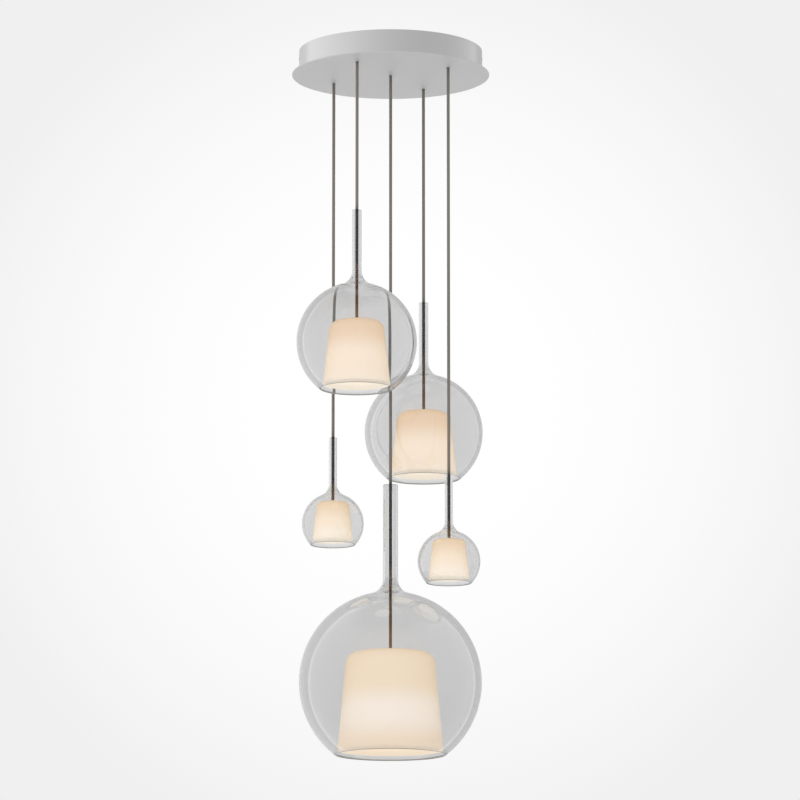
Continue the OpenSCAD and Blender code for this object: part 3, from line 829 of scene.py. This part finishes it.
class CHANDELIER_OT_stage(bpy.types.Operator):
    """Sets up the camera, the floor, the room's light and the lamps"""

    bl_idname = "chandelier.stage"
    bl_label = "Stage"

    # The room's light, as numbers round 1, from behind the camera (0) to straight ahead of it (1)
    WALLS = ((0.0, 0.77), (0.5, 0.95), (0.66, 1.02), (0.78, 1.07), (0.825, 1.51), (0.84, 0.73), (1.0, 0.8))
    WALLS_TURN = math.radians(4)
    # How much more of it comes from the left than from the right
    SLOPE = (-0.19, 0.0, 0.0)
    # What it is multiplied by, from straight down (0) to straight up (1)
    HEIGHTS = ((0.0, 1.14), (0.5, 1.02), (0.65, 0.97), (0.9, 0.80), (0.965, 0.32), (1.0, 0.25))
    # The white behind the object: its level at the picture's edge and in its middle, and the cosines
    # of the angles from the camera's direction at which those are reached
    BACKDROP_LEVELS = (0.87, 1.0)
    BACKDROP_COSINES = (0.9960, 0.9997)
    FLOOR_SQUARES = 8
    FLOOR_HALF_WIDTH = 14.0
    KEY_SOFTNESS = math.radians(25)
    KEY_TURN = (math.radians(28), math.radians(-22), 0)

    def execute(self, context):
        settings = context.scene.chandelier.stage
        self.add_camera(context)
        self.add_world(context, settings)
        if settings.show_floor:
            self.add_floor(settings)
        self.add_lamp(settings)
        context.scene.view_settings.view_transform = "Standard"
        return {"FINISHED"}

    def add_camera(self, context):
        data = bpy.data.cameras.new("photo_camera")
        data.lens = CAMERA_LENS
        data.sensor_width = SENSOR_WIDTH
        data.clip_end = CAMERA_REACH
        camera = add_object("photo_camera", data)
        camera.location = CAMERA_PLACE
        camera.rotation_euler = (math.pi / 2 + CAMERA_TILT, 0, 0)
        context.scene.camera = camera

    def add_world(self, context, settings):
        """White behind the object for camera, glass and gloss, and an even room for all other light."""
        world = bpy.data.worlds.new("studio")
        world.use_nodes = True
        tree = world.node_tree
        background = tree.nodes["Background"]
        where = add_node(tree, "ShaderNodeTexCoord").outputs["Generated"]
        ray = add_node(tree, "ShaderNodeLightPath").outputs
        ahead = (0.0, math.cos(CAMERA_TILT), math.sin(CAMERA_TILT))
        turned = (-math.sin(self.WALLS_TURN), math.cos(self.WALLS_TURN) * ahead[1], ahead[2])
        backdrop = spread(
            tree, self.along(tree, where, ahead), *self.BACKDROP_LEVELS, *self.BACKDROP_COSINES
        )
        walls = self.levels(tree, self.along(tree, where, turned), self.WALLS)
        room = calculated(tree, "ADD", walls, self.along(tree, where, self.SLOPE))
        shares = [(place, share * settings.room_light) for place, share in self.HEIGHTS]
        height = self.levels(tree, self.along(tree, where, (0.0, 0.0, 1.0)), shares)
        lit = calculated(tree, "MULTIPLY", room, height)
        bounced = calculated(tree, "ADD", ray["Glossy Depth"], ray["Diffuse Depth"])
        straight = calculated(tree, "LESS_THAN", bounced, 0.5)
        through = calculated(tree, "MULTIPLY", ray["Is Transmission Ray"], straight)
        seen = calculated(tree, "MAXIMUM", ray["Is Camera Ray"], through)
        shown = add_node(tree, "ShaderNodeMix", {"Factor": seen, "A": lit, "B": backdrop}).outputs["Result"]
        tree.links.new(shown, background.inputs["Strength"])
        background.inputs["Color"].default_value = (1.0, 1.0, 1.0, 1.0)
        context.scene.world = world

    def along(self, tree, where, direction):
        """How far a direction points along another one, from -1 to 1."""
        inputs = {0: where, 1: direction}
        return add_node(tree, "ShaderNodeVectorMath", inputs, operation="DOT_PRODUCT").outputs["Value"]

    def levels(self, tree, cosine, stops):
        """Brightness by direction, from stops of (place, level) between opposite to and along one."""
        halfway = calculated(tree, "MULTIPLY_ADD", cosine, 0.5, 0.5)
        return ramp(tree, halfway, [(place, [level] * 3) for place, level in stops])

    def add_floor(self, settings):
        """A wide pale floor that vanishes for a camera that looks up from under it, and for reflections."""
        bm = bmesh.new()
        squares = self.FLOOR_SQUARES
        bmesh.ops.create_grid(bm, x_segments=squares, y_segments=squares, size=self.FLOOR_HALF_WIDTH)
        floor = add_object("floor", finish_mesh("floor", bm, smooth=False))
        if floor.data.polygons[0].normal.z < 0:
            floor.data.flip_normals()
        floor.location.z = settings.floor_level
        material, tree, shader = new_material("pale_floor")
        colour = tinted(tree, noise(tree, scale=1.5), FLOOR_COLOUR, darker=0.98)
        set_inputs(tree, shader, Base_Color=colour, Roughness=0.8)
        below = add_node(tree, "ShaderNodeNewGeometry").outputs["Backfacing"]
        ray = add_node(tree, "ShaderNodeLightPath").outputs
        under = calculated(tree, "MULTIPLY", below, ray["Is Camera Ray"])
        mirrored = calculated(tree, "GREATER_THAN", ray["Glossy Depth"], 0.5)
        hidden = calculated(tree, "MAXIMUM", under, mirrored)
        clear = add_node(tree, "ShaderNodeBsdfTransparent").outputs[0]
        mix = add_node(tree, "ShaderNodeMixShader", {0: hidden, 1: shader.outputs[0], 2: clear})
        tree.links.new(mix.outputs[0], tree.nodes["Material Output"].inputs["Surface"])
        floor.data.materials.append(material)

    def add_lamp(self, settings):
        """One wide soft light from above, which gives the floor the object's shadow."""
        data = bpy.data.lights.new("soft_key", "SUN")
        data.energy = settings.key_light
        data.angle = self.KEY_SOFTNESS
        lamp = add_object("soft_key", data)
        lamp.rotation_euler = self.KEY_TURN
        lamp.visible_glossy = False
        lamp.visible_transmission = False


class CHANDELIER_OT_cords(bpy.types.Operator):
    """Makes the five braided cords from the canopy to the stems"""

    bl_idname = "chandelier.cords"
    bl_label = "Cords"

    def execute(self, context):
        settings = context.scene.chandelier.cords
        material = cord_sleeve(settings)
        for pendant in PENDANTS:
            self.add_cord(pendant, settings, material)
        return {"FINISHED"}

    def add_cord(self, pendant, settings, material):
        low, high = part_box(pendant + "_cord")
        x, y = middle_of(pendant + "_cord")
        length = high.z - low.z
        radius = (high.x - low.x) / 2
        path = [(x, y, high.z - length * i / CORD_STEPS) for i in range(CORD_STEPS + 1)]
        mesh = tube_mesh(pendant + "_braided_cord", path, radius, settings.cord_sides)
        unwrap_round(mesh, path[0])
        piece = add_object(pendant + "_braided_cord", mesh)
        place_piece(piece, material, "cord_sleeve", pendant + "_cord_run", pendant + "_cord")


class CHANDELIER_OT_stems(bpy.types.Operator):
    """Finishes the five stems in black chrome, with a painted bronze reflection of the lit shade below the
    neck
    """

    bl_idname = "chandelier.stems"
    bl_label = "Stems"

    def execute(self, context):
        settings = context.scene.chandelier.stems
        finishes = {kind: stem_with_painted_reflection(settings, kind) for kind in REFLECTION_SHARES}
        for pendant in PENDANTS:
            dress(pendant + "_stem", finishes[kind_of(pendant)])
        return {"FINISHED"}


class CHANDELIER_OT_globes(bpy.types.Operator):
    """Makes the clear glass globes with their long necks and open rims"""

    bl_idname = "chandelier.globes"
    bl_label = "Globes"

    def execute(self, context):
        settings = context.scene.chandelier.glass
        rim = ground_rim(settings)
        glasses = {kind: clear_glass(settings, kind) for kind in RIM_RADIUS}
        for pendant in PENDANTS:
            self.add_globe(pendant, settings, (glasses[kind_of(pendant)], rim))
        return {"FINISHED"}

    def add_globe(self, pendant, settings, materials):
        low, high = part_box(pendant + "_globe")
        radius = (high.x - low.x) / 2
        kind = kind_of(pendant)
        neck_length = high.z - low.z - self.rim_drop(kind, radius) - radius
        outline = self.outline(kind, radius, neck_length)
        middle = Vector((*middle_of(pendant + "_globe"), low.z - min(z for r, z in outline)))
        outline = [(r, z + middle.z) for r, z in outline]
        mesh = turned_mesh(pendant + "_clear_globe", outline, middle.xy, settings.glass_segments)
        unwrap_round(mesh, (middle.x, middle.y, low.z))
        piece = add_object(pendant + "_clear_globe", mesh)
        place_piece(piece, materials[0], "clear_glass", pendant + "_pendant", pendant + "_globe")
        mesh.materials.append(materials[1])
        rim = self.rim_turn(kind, radius)
        for polygon in mesh.polygons:
            way = polygon.center - middle
            if math.atan2(way.z, way.xy.length) < rim:
                polygon.material_index = 1

    def rim_drop(self, kind, radius):
        """How far the rim lies below the globe's middle."""
        return math.sqrt(radius ** 2 - RIM_RADIUS[kind] ** 2)

    def rim_turn(self, kind, radius):
        """The angle, counted from the globe's middle, at which its wall ends in a rounded rim."""
        half_wall = GLASS_THICKNESS[kind] / 2
        return math.asin((half_wall - self.rim_drop(kind, radius)) / (radius - half_wall))

    def outline(self, kind, radius, neck_length):
        """The glass from the lip of its neck down the outside, round the rim and up the inside."""
        wall = GLASS_THICKNESS[kind]
        neck = NECK_RADIUS[kind]
        flare_radius = FLARE_RADIUS[kind]
        reach = neck + flare_radius
        flare = (reach, math.sqrt((radius + flare_radius) ** 2 - reach ** 2))
        crown = math.atan2(flare[1], flare[0])
        rim = self.rim_turn(kind, radius)
        rim_middle = ((radius - wall / 2) * math.cos(rim), (radius - wall / 2) * math.sin(rim))
        lip = (neck - wall / 2, radius + neck_length - wall / 2)
        around_lip = arc(lip, wall / 2, math.pi, 0, EDGE_STEPS)
        down = spaced((neck, lip[1]), (neck, flare[1]), NECK_STEPS)
        outside = arc(flare, flare_radius, math.pi, math.pi + crown, FLARE_STEPS)
        outside += arc((0, 0), radius, crown, rim, GLOBE_STEPS)[1:]
        around_rim = arc(rim_middle, wall / 2, rim, rim - math.pi, EDGE_STEPS)[1:-1]
        inside = arc((0, 0), radius - wall, rim, crown, GLOBE_STEPS)
        inside += arc(flare, flare_radius + wall, math.pi + crown, math.pi, FLARE_STEPS)[1:]
        up = spaced((neck - wall, flare[1]), (neck - wall, lip[1]), NECK_STEPS)
        return around_lip + down + outside + around_rim + inside + up


class CHANDELIER_OT_seats(bpy.types.Operator):
    """Finishes the clear seats that the globes rest on"""

    bl_idname = "chandelier.seats"
    bl_label = "Glass seats"

    def execute(self, context):
        material = clear_moulding(context.scene.chandelier.glass)
        for pendant in PENDANTS:
            dress(pendant + "_glass_seat", material)
        return {"FINISHED"}


class CHANDELIER_OT_shades(bpy.types.Operator):
    """Makes the lit opal glass shades with their rounded shoulders"""

    bl_idname = "chandelier.shades"
    bl_label = "Shades"

    def execute(self, context):
        settings = context.scene.chandelier.shades
        faces = {kind: (opal_outside(settings, kind), opal_inside(settings, kind)) for kind in GLOW_SHARES}
        for pendant in PENDANTS:
            self.add_shade(pendant, settings, faces[kind_of(pendant)])
        return {"FINISHED"}

    def add_shade(self, pendant, settings, materials):
        low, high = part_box(pendant + "_shade")
        middle = middle_of(pendant + "_shade")
        outline = self.outline(kind_of(pendant), (high.x - low.x) / 2, high.z - low.z)
        outline = [(r, z + high.z) for r, z in outline]
        mesh = turned_mesh(pendant + "_opal_shade", outline, middle, settings.shade_segments)
        piece = add_object(pendant + "_opal_shade", mesh)
        place_piece(piece, materials[0], "opal_glass", pendant + "_pendant", pendant + "_shade")
        mesh.materials.append(materials[1])
        self.paint_inside(mesh, middle)

    def paint_inside(self, mesh, middle):
        """Gives the faces that look towards the axis or down under the top the inner finish."""
        top = max(vertex.co.z for vertex in mesh.vertices)
        foot = min(vertex.co.z for vertex in mesh.vertices)
        for polygon in mesh.polygons:
            outward = Vector((polygon.center.x - middle[0], polygon.center.y - middle[1], 0)).normalized()
            below_top = polygon.normal.z < -0.3 and polygon.center.z > (top + foot) / 2
            if polygon.normal.dot(outward) < -0.2 or below_top:
                polygon.material_index = 1

    def outline(self, kind, foot_radius, height):
        """The outline from the stem hole over the shoulder to the foot, and back up the inside."""
        top_radius = SHADE_TOP_RADIUS[kind]
        shoulder_radius = SHADE_SHOULDER[kind]
        half_wall = SHADE_THICKNESS / 2
        spread_out = foot_radius - top_radius
        slant = math.hypot(height, spread_out)
        side = math.atan2(spread_out, height)
        quarter = math.pi / 2
        shoulder = (top_radius - shoulder_radius * (slant - spread_out) / height, -shoulder_radius)
        foot_z = half_wall - height
        foot = (top_radius - spread_out * foot_z / height - half_wall * slant / height, foot_z)
        over = arc(shoulder, shoulder_radius, quarter, side, SHOULDER_STEPS)
        around_foot = arc(foot, half_wall, side, side - math.pi, EDGE_STEPS)
        under = arc(shoulder, shoulder_radius - SHADE_THICKNESS, side, quarter, SHOULDER_STEPS)
        top, below_top = (STEM_HOLE, 0.0), (STEM_HOLE, -SHADE_THICKNESS)
        outside = [top] + spaced(top, over[0], SHADE_TOP_STEPS) + over
        outside += spaced(over[-1], around_foot[0], SHADE_SIDE_STEPS) + around_foot
        inside = spaced(around_foot[-1], under[0], SHADE_SIDE_STEPS) + under
        return outside + inside + spaced(under[-1], below_top, SHADE_TOP_STEPS) + [below_top]


class CHANDELIER_OT_lamps(bpy.types.Operator):
    """Finishes the shade carriers, lampholders and bulbs"""

    bl_idname = "chandelier.lamps"
    bl_label = "Lampholders and bulbs"

    def execute(self, context):
        holder = moulded_plastic("white_lampholder", LAMPHOLDER_COLOUR, roughness=0.42)
        carrier = zinc_plate()
        bulb = lit_bulb(context.scene.chandelier.shades)
        for pendant in PENDANTS:
            dress(pendant + "_shade_carrier", carrier)
            dress(pendant + "_lampholder", holder)
            dress(pendant + "_bulb", bulb)
        return {"FINISHED"}


class CHANDELIER_OT_canopy(bpy.types.Operator):
    """Finishes the drum, the cover plate and their side screws in satin metal"""

    bl_idname = "chandelier.canopy"
    bl_label = "Canopy"

    def execute(self, context):
        settings = context.scene.chandelier.canopy
        side = satin_metal(
            "satin_drum_side", settings.drum_colour, settings.drum_roughness, metal_share=1.0
        )
        plate = satin_metal(
            "satin_cover_plate", settings.plate_colour, settings.plate_roughness, settings.plate_metal_share
        )
        for node in ("canopy_drum", "side_screws"):
            dress(node, side)
        dress("canopy_plate", plate)
        return {"FINISHED"}


class CHANDELIER_OT_fixings(bpy.types.Operator):
    """Finishes the ceiling bar, its bush, the nuts, screws and cord grips"""

    bl_idname = "chandelier.fixings"
    bl_label = "Ceiling bar and fixings"

    def execute(self, context):
        zinc = zinc_plate()
        for node in ("ceiling_bar", "plate_nuts", "grip_screws", "block_screws"):
            dress(node, zinc)
        brass = turned_brass()
        for node in ("terminal_screws", "earth_fixings"):
            dress(node, brass)
        rubber = moulded_plastic("black_rubber_bush", RUBBER_COLOUR, roughness=0.62)
        dress("supply_bush", rubber)
        nylon = moulded_plastic("grey_nylon_grip", NYLON_COLOUR, roughness=0.5)
        dress("cord_grips", nylon)
        return {"FINISHED"}


class CHANDELIER_OT_wiring(bpy.types.Operator):
    """Finishes the terminal strip, the inner leads and the earth lead"""

    bl_idname = "chandelier.wiring"
    bl_label = "Wiring"

    def execute(self, context):
        strip = moulded_plastic("white_terminal_strip", TERMINAL_COLOUR, roughness=0.45)
        dress("terminal_block", strip)
        sleeve = moulded_plastic("smooth_inner_sleeve", LEAD_COLOUR, roughness=0.5)
        dress("inner_leads", sleeve)
        earth = moulded_plastic("green_earth_sleeve", EARTH_COLOUR, roughness=0.45)
        dress("earth_lead", earth)
        return {"FINISHED"}


class CHANDELIER_PT_sidebar(bpy.types.Panel):
    """Lists the steps that dress the chandelier, with their settings"""

    bl_idname = "CHANDELIER_PT_sidebar"
    bl_label = "Chandelier"
    bl_space_type = "VIEW_3D"
    bl_region_type = "UI"
    bl_category = "Chandelier"

    def draw(self, context):
        layout = self.layout
        settings = context.scene.chandelier
        for step, group in STEPS:
            box = layout.box()
            box.operator(step.bl_idname)
            for name in getattr(settings, group).__annotations__ if group else ():
                box.prop(getattr(settings, group), name)


# Each step with the group of settings that is listed under it
STEPS = (
    (CHANDELIER_OT_stage, "stage"),
    (CHANDELIER_OT_cords, "cords"),
    (CHANDELIER_OT_stems, "stems"),
    (CHANDELIER_OT_globes, "glass"),
    (CHANDELIER_OT_seats, ""),
    (CHANDELIER_OT_shades, "shades"),
    (CHANDELIER_OT_lamps, ""),
    (CHANDELIER_OT_canopy, "canopy"),
    (CHANDELIER_OT_fixings, ""),
    (CHANDELIER_OT_wiring, ""),
)
GROUPS = (
    CanopySettings,
    CordSettings,
    StemSettings,
    GlassSettings,
    ShadeSettings,
    StageSettings,
    ChandelierSettings,
)


def register():
    for group in GROUPS:
        bpy.utils.register_class(group)
    for step, _ in STEPS:
        bpy.utils.register_class(step)
    bpy.utils.register_class(CHANDELIER_PT_sidebar)
    bpy.types.Scene.chandelier = PointerProperty(type=ChandelierSettings)


def unregister():
    del bpy.types.Scene.chandelier
    bpy.utils.unregister_class(CHANDELIER_PT_sidebar)
    for step, _ in reversed(STEPS):
        bpy.utils.unregister_class(step)
    for group in reversed(GROUPS):
        bpy.utils.unregister_class(group)


def main():
    register()
    for step, _ in STEPS:
        area, name = step.bl_idname.split(".")
        getattr(getattr(bpy.ops, area), name)()


if __name__ == "__main__":
    main()
